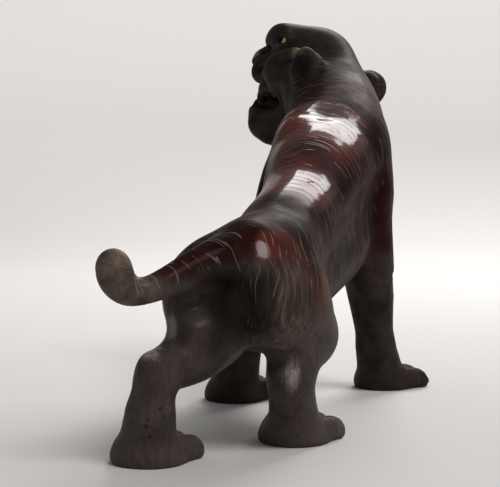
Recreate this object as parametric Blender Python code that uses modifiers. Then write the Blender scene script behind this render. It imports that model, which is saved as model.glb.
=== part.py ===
"""A prowling tiger, cast in one piece: low hindquarters, high chest, head turned to its left."""
import math

import bmesh
import bpy
from mathutils import Matrix, Vector

MM = 0.001

# Driving dimensions, in millimetres. Stations and centres are (left, forward, up) from the
# point between the hind feet, on the ground.
MIDLINE = -7.0          # the trunk leans over the right feet
RUMP_HEIGHT = 65.0
WITHERS_HEIGHT = 105.0
VOXEL = 1.15            # size of the cell that welds the masses into one skin
SMOOTHING = 5           # passes that run the masses into each other
TRIANGLES = 9600
SOLE_DEPTH = 1.2        # how far the pads reach below the ground before they are cut flat
CHEST_RADIUS = 18.5     # the trunk's core at the shoulders
LOIN_RADIUS = 14.2      # the trunk's core at its narrowest, ahead of the hips
BELLY_DROP = 19.5       # from the rump's level down to the core of the belly
FOOT_LENGTH = 27.0
FOOT_WIDTH = 23.5
FOOT_HEIGHT = 9.0       # top of the pad; the toes are a little lower
LEG_RADIUS = 6.6        # below the hock and the elbow
TAIL_ROOT_RADIUS = 7.2
TAIL_TIP_RADIUS = 4.6

HEAD_AT = (1.2, 133.5, 112.0)   # middle of the line between the ears
HEAD_TURN = 65.8        # degrees to the left of the body's axis
HEAD_PITCH = 8.0        # degrees, muzzle up
HEAD_ROLL = 9.0         # degrees, left ear up
EAR_SPREAD = 22.0       # from the head's middle to the middle of each cupped ear
EAR_HEIGHT = 12.0


def clear_scene():
    for obj in list(bpy.data.objects):
        bpy.data.objects.remove(obj, do_unlink=True)


def place(point):
    """From (left, forward, up) in millimetres to the scene, which faces -Y."""
    return Vector((point[0] * MM, -point[1] * MM, point[2] * MM))


def head_frame():
    """Head axes as columns: forward, left, up, in (left, forward, up) components."""
    turn, pitch, roll = (math.radians(a) for a in (HEAD_TURN, HEAD_PITCH, HEAD_ROLL))
    ahead = Vector((math.sin(turn), math.cos(turn), 0))
    left = Vector((math.cos(turn), -math.sin(turn), 0))
    up = Vector((0, 0, 1))
    ahead, up = (
        ahead * math.cos(pitch) + up * math.sin(pitch),
        up * math.cos(pitch) - ahead * math.sin(pitch),
    )
    left, up = (
        left * math.cos(roll) + up * math.sin(roll),
        up * math.cos(roll) - left * math.sin(roll),
    )
    return ahead, left, up


AHEAD, LEFT, UP = head_frame()


def on_head(ahead, left, up):
    return tuple(Vector(HEAD_AT) + AHEAD * ahead + LEFT * left + UP * up)


def ellipsoid(target, centre, radii, axes=None, name="mass"):
    """axes: the directions of the three radii, in (left, forward, up) components."""
    axes = axes or (Vector((1, 0, 0)), Vector((0, 1, 0)), Vector((0, 0, 1)))
    bm = bmesh.new()
    bmesh.ops.create_uvsphere(bm, u_segments=28, v_segments=18, radius=1.0)
    columns = [place(axis) * radius for axis, radius in zip(axes, radii)]
    turn = Matrix(columns).transposed()
    for vert in bm.verts:
        vert.co = turn @ vert.co + place(centre)
    if turn.determinant() < 0:
        bmesh.ops.reverse_faces(bm, faces=bm.faces)
    mesh = bpy.data.meshes.new(name)
    bm.to_mesh(mesh)
    bm.free()
    obj = bpy.data.objects.new(name, mesh)
    target.objects.link(obj)
    return obj


def head_mass(target, centre, radii, pitch=0.0, yaw=0.0):
    """An ellipsoid on the head's axes, turned by pitch (nose up) and yaw (to its left)."""
    p, y = math.radians(pitch), math.radians(yaw)
    a = AHEAD * math.cos(y) + LEFT * math.sin(y)
    b = LEFT * math.cos(y) - AHEAD * math.sin(y)
    a, c = a * math.cos(p) + UP * math.sin(p), UP * math.cos(p) - a * math.sin(p)
    return ellipsoid(target, on_head(*centre), radii, (a, b, c))


def limb(target, stations, name="limb"):
    """A tapering round limb through stations (left, forward, up, radius), with round ends."""
    curve = bpy.data.curves.new(name, "CURVE")
    curve.dimensions = "3D"
    curve.bevel_depth = 1.0 * MM
    curve.bevel_resolution = 5
    curve.resolution_u = 8
    curve.use_fill_caps = True
    spline = curve.splines.new("BEZIER")
    spline.bezier_points.add(len(stations) - 1)
    for point, (left, forward, up, radius) in zip(spline.bezier_points, stations):
        point.co = place((left, forward, up))
        point.radius = radius
        point.handle_left_type = point.handle_right_type = "AUTO"
    obj = bpy.data.objects.new(name, curve)
    target.objects.link(obj)
    for left, forward, up, radius in (stations[0], stations[-1]):
        ellipsoid(target, (left, forward, up), (radius,) * 3)
    return obj


def foot(target, centre, heading, ankle):
    """A flared heel and four toes. heading: degrees to the left of forward."""
    width, length, height = FOOT_WIDTH, FOOT_LENGTH, FOOT_HEIGHT
    h = math.radians(heading)
    ahead = Vector((math.sin(h), math.cos(h), 0))
    left = Vector((math.cos(h), -math.sin(h), 0))
    up = Vector((0, 0, 1))
    middle = Vector(centre)
    level = height * 0.42
    heel = middle - ahead * (0.16 * length)
    limb(target, [(*ankle, LEG_RADIUS), (*(heel + up * (0.55 * height)), 0.35 * width)])
    ellipsoid(
        target,
        heel + up * level,
        (0.34 * length, 0.43 * width, height - level),
        (ahead, left, up),
    )
    for side, reach in ((-0.36, 0.12), (-0.13, 0.22), (0.13, 0.22), (0.36, 0.12)):
        ellipsoid(
            target,
            middle + ahead * (reach * length) + left * (side * width) + up * (0.30 * height),
            (0.25 * length, 0.155 * width, 0.40 * height + SOLE_DEPTH * 0.5),
            (ahead, left, up),
        )
    ellipsoid(
        target,
        middle - ahead * (0.08 * length) + up * (0.20 * height),
        (0.36 * length, 0.43 * width, 0.22 * height + SOLE_DEPTH),
        (ahead, left, up),
    )


def trunk(target):
    m = MIDLINE
    top, base = WITHERS_HEIGHT, RUMP_HEIGHT
    chest, loin = CHEST_RADIUS, LOIN_RADIUS
    ellipsoid(target, (m + 1.5, 0.0, base - 18.5), (17.5, 18.0, 18.0))
    limb(
        target,
        [
            (m, 4, base - 16.5, loin + 1.8),
            (m - 0.5, 24, base - 6.5, loin),
            (m - 1.2, 44, base + 1.0, loin + 0.4),
            (m - 0.8, 64, base + 9.0, (loin + chest) / 2),
            (m, 84, top - 24.5, chest),
            (m - 0.5, 102, top - 20.5, chest),
        ],
    )
    limb(
        target,
        [
            (m, 20, base - BELLY_DROP - 0.5, loin - 2.2),
            (m - 1.0, 42, base - BELLY_DROP, loin - 0.7),
            (m - 0.5, 62, base - BELLY_DROP + 5.0, (loin + chest) / 2 - 0.3),
            (m, 84, base - BELLY_DROP + 10.0, chest - 1.0),
            (m, 102, base - 2.0, chest - 1.5),
            (m + 0.5, 110, base + 9.0, chest - 3.0),
        ],
    )
    ellipsoid(target, (m + 0.5, 97, top - 9.0), (9.0, 18.0, 9.0))
    ellipsoid(target, (m + 10.8, 92, top - 27.0), (8.5, 14.0, 18.0))
    ellipsoid(target, (m - 10.2, 99, top - 27.0), (8.5, 14.0, 18.0))


def hind_leg_right(target):
    low = LEG_RADIUS
    ellipsoid(target, (-15.2, 8.0, 43.0), (9.6, 17.0, 20.0))
    limb(target, [(-15.0, 4, 46, 12), (-15.4, 16, 38, 11.2), (-16.0, 24, 31, 9.0)])
    limb(target, [(-16.0, 24, 31, 9.0), (-16.2, 14, 27, low + 1.2), (-15.4, 7, 21, low)])
    limb(target, [(-15.4, 6.5, 21, low - 0.2), (-15.0, 11, 13, low - 0.4), (-14.8, 17, 6, low)])
    foot(target, (-13.4, 25.0, 0.0), -12.0, (-14.9, 12.6, 13.0))


def hind_leg_left(target):
    low = LEG_RADIUS
    ellipsoid(target, (6.5, -2.0, 42.0), (10.0, 18.0, 19.0))
    limb(target, [(6, -6, 46, 12), (8.5, 6, 38, 12), (9.5, 14, 32, 9.5)])
    limb(target, [(9.5, 13, 31, 9.0), (11.0, -4, 27.5, 8.3), (13.2, -22, 26, low)])
    limb(target, [(13.6, -24.5, 26.5, low - 1.0), (15.4, -23, 17, low - 0.2), (17.0, -20.5, 7, low + 0.6)])
    foot(target, (18.0, -13.4, 0.0), -10.0, (16.0, -22.2, 13.5))


def fore_leg_right(target):
    low = LEG_RADIUS
    limb(
        target,
        [
            (-15.6, 99, 74, 11.8),
            (-17.6, 104, 57, 10.5),
            (-18.0, 109, 41, 9.4),
            (-18.2, 114, 27, low + 1.0),
            (-18.8, 118, 14, low + 0.1),
            (-19.2, 122, 7, low + 0.5),
        ],
    )
    foot(target, (-21.2, 129.0, 0.0), -32.0, (-18.7, 117.5, 15.0))


def fore_leg_left(target):
    low = LEG_RADIUS
    limb(
        target,
        [
            (4.6, 92, 74, 12.0),
            (9.2, 89, 57, 11.0),
            (14, 86, 42, 9.6),
            (18.0, 82, 28, low + 1.0),
            (20.8, 80, 15, low + 0.1),
            (21.8, 81, 7, low + 0.5),
        ],
    )
    foot(target, (23.2, 89.5, 0.0), -16.0, (20.8, 80.0, 15.0))


def tail(target):
    root, tip = TAIL_ROOT_RADIUS, TAIL_TIP_RADIUS
    limb(
        target,
        [
            (-8.5, 6, 56.5, root + 1.4),
            (-6.5, -3, 57.8, root),
            (-1.0, -12, 56.4, root - 1.6),
            (4.5, -19, 53.6, root - 2.8),
            (9.5, -25, 50.6, root - 3.6),
            (14.6, -29, 48.0, tip - 1.4),
            (18.6, -31.5, 47.9, tip - 0.9),
            (21.8, -32, 51.0, tip),
            (23.2, -31, 55.0, tip),
        ],
    )


def neck_and_head(target):
    m = MIDLINE
    limb(
        target,
        [(m, 98, 84, 18.5), (-5.0, 113, 91, 18.5), (-1.5, 124, 99, 17.5), (1.5, 131, 107, 15.0)],
    )
    head_mass(target, (8.0, 0, 3.2), (16.0, 15.4, 14.2))
    head_mass(target, (19.0, 0, 8.6), (8.2, 11.0, 7.2), pitch=-14)
    head_mass(target, (23.0, 0, 2.0), (9.2, 8.0, 7.0), pitch=-12)
    # Bridge and end of the nose.
    limb(
        target,
        [
            (*on_head(18.0, 0, 9.6), 4.6),
            (*on_head(25.5, 0, 6.8), 4.0),
            (*on_head(32.4, 0, 3.8), 3.4),
        ],
    )
    head_mass(target, (33.6, 0, 2.2), (3.2, 4.8, 3.8))
    for side in (-1, 1):
        # Brow, cheek, pad of the upper lip, and the fold from the lip to the ear.
        limb(
            target,
            [
                (*on_head(13.5, side * 12.2, 9.2), 2.2),
                (*on_head(18.5, side * 10.4, 11.0), 3.0),
                (*on_head(23.4, side * 8.0, 10.8), 3.3),
                (*on_head(27.0, side * 5.2, 9.0), 2.8),
            ],
        )
        head_mass(target, (19.6, side * 4.8, -4.8), (6.0, 5.0, 5.0))
        head_mass(target, (25.0, side * 3.6, -8.2), (3.2, 3.6, 3.0))
        head_mass(target, (12.8, side * 10.4, -3.0), (10.0, 6.4, 9.6))
        head_mass(target, (1.5, side * 12.0, -9.0), (7.5, 7.0, 12.0))
        limb(
            target,
            [
                (*on_head(22.0, side * 8.2, -7.0), 2.4),
                (*on_head(17.5, side * 12.0, 0.0), 2.7),
                (*on_head(8.5, side * 15.2, 3.4), 2.4),
            ],
        )
        head_mass(
            target, (-4.4, side * (EAR_SPREAD - 2.0), -0.8), (4.6, 6.0, EAR_HEIGHT * 0.6), yaw=side * 30
        )
    limb(
        target,
        [
            (*on_head(6, 0, -11), 9.5),
            (*on_head(15, 0, -17.6), 7.6),
            (*on_head(21.5, 0, -20.8), 6.8),
            (*on_head(26.6, 0, -20.8), 6.4),
        ],
    )
    head_mass(target, (29.6, 0, -18.0), (3.6, 4.8, 3.4))


def hollows(target):
    """The open mouth and throat, the cups of the ears and the cleft between the thighs."""
    cups = [
        head_mass(
            target,
            (-8.2, side * (EAR_SPREAD + 1.0), -0.6),
            (4.6, 3.8, EAR_HEIGHT * 0.42),
            yaw=side * 30,
        )
        for side in (-1, 1)
    ]
    return cups + [
        head_mass(target, (26.0, 0, -13.2), (13.0, 6.6, 4.6), pitch=-8),
        head_mass(target, (15.5, 0, -12.4), (7.5, 6.6, 4.6), pitch=-20),
        ellipsoid(target, (MIDLINE + 2.5, -22.0, 36.0), (5.0, 9.5, 13.0)),
    ]


def joined(objects, name):
    bpy.ops.object.select_all(action="DESELECT")
    for obj in objects:
        obj.select_set(True)
    bpy.context.view_layer.objects.active = objects[0]
    bpy.ops.object.convert(target="MESH")
    bpy.ops.object.join()
    obj = bpy.context.view_layer.objects.active
    obj.name = name
    obj.data.name = name
    return obj


def applied(obj, kind, **settings):
    modifier = obj.modifiers.new(kind.title(), kind)
    for key, value in settings.items():
        setattr(modifier, key, value)
    bpy.context.view_layer.objects.active = obj
    bpy.ops.object.modifier_apply(modifier=modifier.name)


def bronze():
    material = bpy.data.materials.new("patinated_bronze")
    material.use_nodes = True
    shader = material.node_tree.nodes["Principled BSDF"]
    shader.inputs["Base Color"].default_value = (0.060, 0.026, 0.017, 1.0)
    shader.inputs["Metallic"].default_value = 0.75
    shader.inputs["Roughness"].default_value = 0.34
    return material


def main():
    clear_scene()
    scene = bpy.context.scene
    figure = bpy.data.collections.new("tiger_figurine")
    cutting = bpy.data.collections.new("cutters")
    scene.collection.children.link(figure)
    scene.collection.children.link(cutting)

    for build in (
        trunk,
        hind_leg_right,
        hind_leg_left,
        fore_leg_right,
        fore_leg_left,
        tail,
        neck_and_head,
    ):
        build(figure)
    body = joined(list(figure.objects), "tiger")
    applied(body, "REMESH", mode="VOXEL", voxel_size=VOXEL * MM)
    for cutter in hollows(cutting):
        cutter.hide_render = True
        cutter.display_type = "WIRE"
        applied(body, "BOOLEAN", operation="DIFFERENCE", object=cutter)
    applied(body, "REMESH", mode="VOXEL", voxel_size=VOXEL * MM)
    applied(body, "SMOOTH", factor=0.6, iterations=SMOOTHING)
    body.data.update()
    count = sum(len(face.vertices) - 2 for face in body.data.polygons)
    applied(body, "DECIMATE", ratio=min(1.0, TRIANGLES / count))

    ground = bmesh.new()
    bmesh.ops.create_cube(ground, size=1.0)
    for vert in ground.verts:
        vert.co = Vector((vert.co.x * 0.6, vert.co.y * 0.6, (vert.co.z - 0.5) * 0.05))
    mesh = bpy.data.meshes.new("ground")
    ground.to_mesh(mesh)
    ground.free()
    slab = bpy.data.objects.new("ground", mesh)
    cutting.objects.link(slab)
    slab.hide_render = True
    slab.display_type = "WIRE"
    applied(body, "BOOLEAN", operation="DIFFERENCE", object=slab)

    xs = [v.co.x for v in body.data.vertices]
    ys = [v.co.y for v in body.data.vertices]
    middle = Vector(((min(xs) + max(xs)) / 2, (min(ys) + max(ys)) / 2, 0.0))
    body.data.transform(Matrix.Translation(-middle))
    for obj in cutting.objects:
        obj.data.transform(Matrix.Translation(-middle))
    body.data.materials.clear()
    body.data.materials.append(bronze())
    for polygon in body.data.polygons:
        polygon.use_smooth = True
        polygon.material_index = 0


main()
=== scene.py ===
"""A cast bronze tiger: clay-like modelling in a distance field, then patina and chased hair."""
import math

import bmesh
import bpy
import numpy as np
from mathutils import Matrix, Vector


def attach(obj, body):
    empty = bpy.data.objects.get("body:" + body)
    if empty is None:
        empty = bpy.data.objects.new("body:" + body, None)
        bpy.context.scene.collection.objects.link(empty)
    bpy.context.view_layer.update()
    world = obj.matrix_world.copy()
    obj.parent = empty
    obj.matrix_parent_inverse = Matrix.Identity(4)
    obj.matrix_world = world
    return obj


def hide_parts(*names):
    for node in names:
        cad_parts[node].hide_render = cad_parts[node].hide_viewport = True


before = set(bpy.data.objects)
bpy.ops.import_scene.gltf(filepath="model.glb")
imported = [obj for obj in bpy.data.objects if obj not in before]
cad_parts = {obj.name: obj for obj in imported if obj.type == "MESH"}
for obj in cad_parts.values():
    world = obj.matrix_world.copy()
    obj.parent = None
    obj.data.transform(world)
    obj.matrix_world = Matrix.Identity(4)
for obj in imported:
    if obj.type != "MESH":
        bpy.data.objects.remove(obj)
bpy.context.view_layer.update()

MM = 0.001
TO_MM = (1000, 1000, 1000)
GRID = 0.82  # cell of the modelling grid, in millimetres
HEAD_GRID = 0.62  # share of that cell, round the head
MOST_TRIANGLES = 190_000
LEAST_RADIUS = 0.15
# The figure is laid out as (left, forward, up) in millimetres from the point between the
# hind feet; this is the middle of its footprint there.
MIDDLE = (0.378, 59.322)

MIDLINE = -7.0
RUMP_HEIGHT = 65.0
WITHERS_HEIGHT = 105.0
HEAD_AT = np.array((1.2, 133.5, 112.0))
HEAD_TURN, HEAD_PITCH, HEAD_ROLL = 65.8, 8.0, 9.0
FOOT_WIDTH, FOOT_LENGTH, FOOT_HEIGHT = 23.3, 26.4, 9.0
TOES = ((-0.35, 0.10, 0.0), (-0.125, 0.19, 0.06), (0.125, 0.19, 0.06), (0.35, 0.10, 0.0))
EAR_SPREAD = 22.0
SWELL = 1.1  # how far the soft seams swell the masses
EYE_AT = (14.3, 11.0, 8.7)  # the left eye, on the head's axes
EYE_RADIUS = 2.4
EYE_GRID = 0.28

# The floor's near edge, where it starts to sweep up, the radius of the sweep, half its width.
FLOOR_NEAR, SWEEP_START, SWEEP_RADIUS, FLOOR_HALF = 3.0, -0.7, 0.8, 3.0
SWEEP_STEPS = 12

# The camera, from the point between the hind feet; the focal length is in picture widths.
CAMERA_AT = (-115.3, 387.6, 85.0)
CAMERA_HEADING = (0.272, -0.962)
CAMERA_DIP = 3.67
FOCAL_LENGTH = 1459.0 / 500.0
SENSOR_WIDTH = 36.0

# Linear colours of the patina, and of the shade, glow and highlights painted into it. A pair is the
# two ends of a mottled tone.
DARK = (0.035, 0.0270, 0.0248, 1), (0.053, 0.0412, 0.0378, 1)
SATIN = (0.062, 0.0475, 0.0440, 1), (0.087, 0.0680, 0.0630, 1)
SOOT = (0.012, 0.0096, 0.0090, 1), (0.033, 0.0235, 0.0200, 1)
# Painted light on the red: the lit copy where the back faces up, the shaded copy elsewhere on the
# red.
LIT_OXBLOOD = (0.034, 0.0075, 0.0060, 1), (0.100, 0.0175, 0.0090, 1)
SHADED_MAROON = (0.010, 0.0042, 0.0036, 1), (0.022, 0.0068, 0.0052, 1)
# Painted orange glow of reflected light, on the right haunch.
ORANGE_GLOW = (0.045, 0.022, 0.014, 1), (0.120, 0.048, 0.022, 1)
OLIVE = (0.044, 0.033, 0.028, 1), (0.098, 0.076, 0.062, 1)
BUFF = (0.060, 0.046, 0.034, 1), (0.150, 0.120, 0.092, 1)
# Painted shade for the cleft between the thighs.
CLEFT_SHADE = (0.007, 0.007, 0.0065, 1)
EDGE = (0.090, 0.064, 0.048, 1)
HOLLOW = (0.008, 0.006, 0.0055, 1)
CHASED = (0.19, 0.130, 0.110, 1)
SEAM = (0.12, 0.09, 0.075, 1)
# Painted highlight on the hocks and the left thigh.
GLINT_TONE = (0.26, 0.23, 0.215, 1)
# Painted highlight along the cheek fold and the ear's rim.
RIM_HIGHLIGHT = (0.14, 0.118, 0.108, 1)
RUBBED = (0.36, 0.24, 0.105, 1)
NAPE = (0.018, 0.012, 0.011, 1)
PIT = (0.008, 0.007, 0.0065, 1)
GREY_SHEEN, RED_SHEEN = (0.75, 0.66, 0.60, 1), (0.42, 0.06, 0.03, 1)
GILT = (0.90, 0.68, 0.32, 1), (0.60, 0.38, 0.13, 1)
PAPER = (0.72, 0.70, 0.68, 1)
STUDIO = (0.8, 0.79, 0.78, 1)


def head_axes():
    turn, pitch, roll = (math.radians(a) for a in (HEAD_TURN, HEAD_PITCH, HEAD_ROLL))
    ahead = np.array((math.sin(turn), math.cos(turn), 0))
    left = np.array((math.cos(turn), -math.sin(turn), 0))
    up = np.array((0, 0, 1.0))
    ahead, up = (
        ahead * math.cos(pitch) + up * math.sin(pitch),
        up * math.cos(pitch) - ahead * math.sin(pitch),
    )
    left, up = (
        left * math.cos(roll) + up * math.sin(roll),
        up * math.cos(roll) - left * math.sin(roll),
    )
    return np.array((ahead, left, up))


HEAD = head_axes()


def on_head(ahead, left, up):
    return HEAD_AT + np.array((ahead, left, up)) @ HEAD


def smooth_path(stations, steps=4):
    """Stations (left, forward, up, radius) run through by a Catmull-Rom curve."""
    p = np.array(stations, float)
    if len(p) < 3:
        return p
    padded = np.vstack([2 * p[0] - p[1], p, 2 * p[-1] - p[-2]])
    out = []
    for i in range(1, len(padded) - 2):
        a, b, c, d = padded[i - 1 : i + 3]
        for t in np.arange(steps) / steps:
            out.append(
                0.5
                * (
                    2 * b
                    + (c - a) * t
                    + (2 * a - 5 * b + 4 * c - d) * t * t
                    + (3 * b - a - 3 * c + d) * t**3
                )
            )
    out.append(p[-1])
    out = np.array(out)
    out[:, 3] = np.maximum(out[:, 3], LEAST_RADIUS)
    return out


class Clay:
    """A distance field on a grid. Masses are pressed on or cut out with a soft seam k wide."""

    def __init__(self, axes, reach=9.0):
        self.reach = reach
        self.axes = [np.asarray(axis, np.float32) for axis in axes]
        self.field = np.full([len(a) for a in self.axes], 40.0, np.float32)

    def window(self, low, high):
        s = []
        for axis, a, b in zip(self.axes, low, high):
            i = int(np.searchsorted(axis, a - self.reach))
            j = int(np.searchsorted(axis, b + self.reach))
            s.append(slice(i, max(j, i)))
        x, f, z = (axis[part] for axis, part in zip(self.axes, s))
        return tuple(s), x[:, None, None], f[None, :, None], z[None, None, :]

    def blend(self, s, d, k, cut):
        if not d.size:
            return
        a = self.field[s]
        if cut:
            soft = np.maximum(k - np.abs(a + d), 0) / k
            self.field[s] = np.maximum(a, -d) + soft * soft * (k / 4)
        else:
            soft = np.maximum(k - np.abs(a - d), 0) / k
            self.field[s] = np.minimum(a, d) - soft * soft * (k / 4)

    def mass(self, centre, radii, k=4.0, axes=None, cut=False):
        centre = np.array(centre, float)
        radii = np.array(radii, float)
        axes = np.eye(3) if axes is None else np.asarray(axes, float)
        span = np.sqrt(((axes * radii[:, None]) ** 2).sum(0))
        s, x, f, z = self.window(centre - span, centre + span)
        x, f, z = (g - np.float32(c) for g, c in zip((x, f, z), centre))
        q2 = q4 = 0
        for axis, radius in zip(axes.astype(np.float32), radii.astype(np.float32)):
            along = (axis[0] * x + axis[1] * f + axis[2] * z) / radius
            q2 = q2 + along**2
            q4 = q4 + (along / radius) ** 2
        q = np.sqrt(q2)
        self.blend(s, q * (q - 1) / (np.sqrt(q4) + 1e-6), k, cut)

    def limb(self, stations, k=4.0, seam=1.0, cut=False):
        path = smooth_path(stations)
        low = (path[:, :3] - path[:, 3:]).min(0)
        high = (path[:, :3] + path[:, 3:]).max(0)
        s, x, f, z = self.window(low, high)
        total = None
        for a, b in zip(path[:-1], path[1:]):
            d = self.cone(x, f, z, a, b)
            if total is None:
                total = d
            else:
                soft = np.maximum(seam - np.abs(total - d), 0) / seam
                total = np.minimum(total, d) - soft * soft * (seam / 4)
        self.blend(s, total, k, cut)

    @staticmethod
    def cone(x, f, z, a, b):
        run = (b[:3] - a[:3]).astype(np.float32)
        x, f, z = (g - np.float32(c) for g, c in zip((x, f, z), a[:3]))
        length2 = float(run @ run) + 1e-9
        along = (x * run[0] + f * run[1] + z * run[2]) / length2
        t = np.clip(along, 0, 1)
        gap2 = (x - t * run[0]) ** 2 + (f - t * run[1]) ** 2 + (z - t * run[2]) ** 2
        return np.sqrt(gap2) - (a[3] + (b[3] - a[3]) * t)

    def groove(self, points, radius, k=1.0):
        self.limb([(*p, radius) for p in points], k=k, cut=True)

    def flatten_below(self, level=0.0, k=0.5):
        z = self.axes[2][None, None, :]
        d = np.broadcast_to(level - z, self.field.shape)
        soft = np.maximum(k - np.abs(self.field - d), 0) / k
        self.field = np.maximum(self.field, d) + soft * soft * (k / 4)

    def skin(self):
        """Surface nets: one point in each cell that the surface crosses."""
        field = self.field
        inside = field < 0
        n = np.array(field.shape) - 1
        count = np.zeros(tuple(n), np.int8)
        corners = [(i, j, k) for i in (0, 1) for j in (0, 1) for k in (0, 1)]
        for i, j, k in corners:
            count += inside[i : n[0] + i, j : n[1] + j, k : n[2] + k]
        active = (count > 0) & (count < 8)
        cells = np.argwhere(active)
        index = np.full(tuple(n), -1, np.int64)
        index[active] = np.arange(len(cells))
        value = {c: field[tuple((cells + c).T)] for c in corners}
        point = np.zeros((len(cells), 3))
        hits = np.zeros(len(cells))
        for c in corners:
            for axis in range(3):
                if c[axis]:
                    continue
                other = list(c)
                other[axis] = 1
                fa, fb = value[c], value[tuple(other)]
                cross = (fa < 0) != (fb < 0)
                spot = np.repeat(np.array(c, float)[None], len(cells), 0)
                spot[:, axis] += fa / np.where(cross, fa - fb, 1)
                point += spot * cross[:, None]
                hits += cross
        point /= hits[:, None]
        points = np.stack(
            [
                axis[cell] + (axis[cell + 1] - axis[cell]) * share
                for axis, cell, share in zip(self.axes, cells.T, point.T)
            ],
            1,
        )
        quads = []
        for axis in range(3):
            near = [slice(1, -1)] * 3
            far = [slice(1, -1)] * 3
            near[axis], far[axis] = slice(0, -1), slice(1, None)
            a, b = inside[tuple(near)], inside[tuple(far)]
            base = np.argwhere(a != b)
            solid_first = a[tuple(base.T)]
            for o in range(3):
                if o != axis:
                    base[:, o] += 1
            du, dv = np.zeros(3, int), np.zeros(3, int)
            du[(axis + 1) % 3], dv[(axis + 2) % 3] = 1, 1
            ring = [base - du - dv, base - dv, base, base - du]
            quad = np.stack([index[tuple(r.T)] for r in ring], 1)
            quad[~solid_first] = quad[~solid_first][:, ::-1]
            quads.append(quad)
        return points, np.concatenate(quads)


def head_mass(clay, centre, radii, k=3.0, pitch=0.0, yaw=0.0, cut=False):
    """A mass on the head's axes, turned by pitch (front up) and yaw (to its left)."""
    p, y = math.radians(pitch), math.radians(yaw)
    a = HEAD[0] * math.cos(y) + HEAD[1] * math.sin(y)
    b = HEAD[1] * math.cos(y) - HEAD[0] * math.sin(y)
    a, c = a * math.cos(p) + HEAD[2] * math.sin(p), HEAD[2] * math.cos(p) - a * math.sin(p)
    clay.mass(on_head(*centre), radii, k, (a, b, c), cut)


def head_limb(clay, stations, k=2.0, seam=1.0):
    clay.limb([(*on_head(a, b, c), r) for a, b, c, r in stations], k=k, seam=seam)


def head_groove(clay, points, radius, k):
    clay.groove([on_head(*point) for point in points], radius, k=k)


def trunk(clay):
    m, top, base = MIDLINE, WITHERS_HEIGHT, RUMP_HEIGHT
    clay.mass((m + 1.5, 0.0, base - 18.5), (17.5, 18.0, 18.0), k=8)
    clay.limb(
        [
            (m, 4, base - 16.5, 15.6),
            (m - 0.5, 24, base - 6.3, 13.8),
            (m - 1.2, 40, base - 1.2, 13.9),
            (m - 1.0, 52, base + 2.6, 14.4),
            (m - 0.6, 67, base + 10.2, 16.2),
            (m - 0.2, 79, top - 26.6, 17.6),
            (m, 90, top - 23.6, 18.0),
            (m - 0.5, 102, top - 20.5, 18.0),
        ],
        k=8,
    )
    clay.limb(
        [
            (m, 20, base - 20.0, 11.5),
            (m - 1.0, 42, base - 19.5, 12.5),
            (m - 0.5, 62, base - 14.5, 15.0),
            (m, 84, base - 9.5, 16.6),
            (m, 102, base - 2.0, 16.0),
            (m + 0.5, 110, base + 9.0, 15.0),
        ],
        k=10,
    )
    # Withers, with a shoulder blade standing up on each side of a shallow saddle.
    for side, forward in ((1, 92), (-1, 99)):
        clay.mass((m + side * 10.4, forward, top - 27.0), (8.0, 13.0, 18.0), k=7)
        clay.limb(
            [
                (m + side * (7.8 + 0.6 * side), forward - 2, top - 11.2 + 0.5 * side, 4.6),
                (m + side * 12.0, forward + 0, top - 19, 4.6),
                (m + side * 13.6, forward + 3, top - 34, 5.0),
            ],
            k=6,
        )
    saddle = [(m - 3.0, 78, top - 3.2), (m - 2.6, 88, top + 0.4), (m - 1, 96, top + 2.8)]
    clay.groove(saddle, 3.0, k=6)
    # The left blade is pushed up, since that leg bears the weight.
    clay.mass((0.6, 81, top - 17.4), (7.0, 12.0, 9.5), k=6)
    # Breast and the hollow between the forelegs.
    clay.mass((m + 0.5, 112, base + 3.0), (10.0, 9.0, 12.0), k=7)
    # Hip bones.
    clay.mass((m + 9.0, 10, base - 6.5), (4.0, 9.0, 4.0), k=6)
    clay.mass((m - 8.0, 14, base - 5.0), (4.0, 9.0, 4.0), k=6)


def leg(clay, stations):
    clay.limb(stations, k=5.0, seam=2.0)


def foot(clay, centre, heading, ankle):
    """A flared heel and four knuckled toes with short claws. heading: left of forward."""
    width, length, height = FOOT_WIDTH, FOOT_LENGTH, FOOT_HEIGHT
    h = math.radians(heading)
    ahead = np.array((math.sin(h), math.cos(h), 0))
    left = np.array((math.cos(h), -math.sin(h), 0))
    up = np.array((0, 0, 1.0))
    middle = np.array(centre)

    def at(forward, side, level):
        return middle + ahead * (forward * length) + left * (side * width) + up * (level * height)

    frame3 = (ahead, left, up)
    # The shank widens into the heel in one sweep.
    clay.limb([(*ankle, 5.4), (*at(-0.15, 0, 0.55), 7.4)], k=5)
    clay.mass(at(-0.15, 0, 0.26), (0.33 * length, 0.43 * width, 0.60 * height), 4.5, frame3)
    clay.mass(at(-0.06, 0, 0.10), (0.40 * length, 0.455 * width, 0.30 * height), 2.0, frame3)
    for side, reach, rise in TOES:
        clay.limb(
            [
                (*at(-0.08, side * 0.74, 0.42 + rise), 0.120 * width),
                (*at(reach - 0.03, side, 0.42 + rise), 0.142 * width),
                (*at(reach + 0.11, side * 1.04, 0.36), 0.134 * width),
                (*at(reach + 0.175, side * 1.06, 0.20), 0.120 * width),
            ],
            k=1.5,
            seam=0.8,
        )
        if abs(side) > 0.3:
            # Chisel cuts down the side of the outer toe.
            for cut in (0.02, 0.13, 0.22):
                stroke = [
                    at(cut, side * 1.48, 0.92),
                    at(cut + 0.03, side * 1.52, 0.45),
                    at(cut + 0.04, side * 1.5, 0.05),
                ]
                clay.groove(stroke, 0.45, k=0.9)
        clay.limb(
            [
                (*at(reach + 0.20, side * 1.06, 0.36), 0.055 * width),
                (*at(reach + 0.29, side * 1.08, 0.26), 0.042 * width),
                (*at(reach + 0.325, side * 1.09, 0.10), 0.018 * width),
            ],
            k=0.6,
            seam=0.4,
        )


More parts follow.
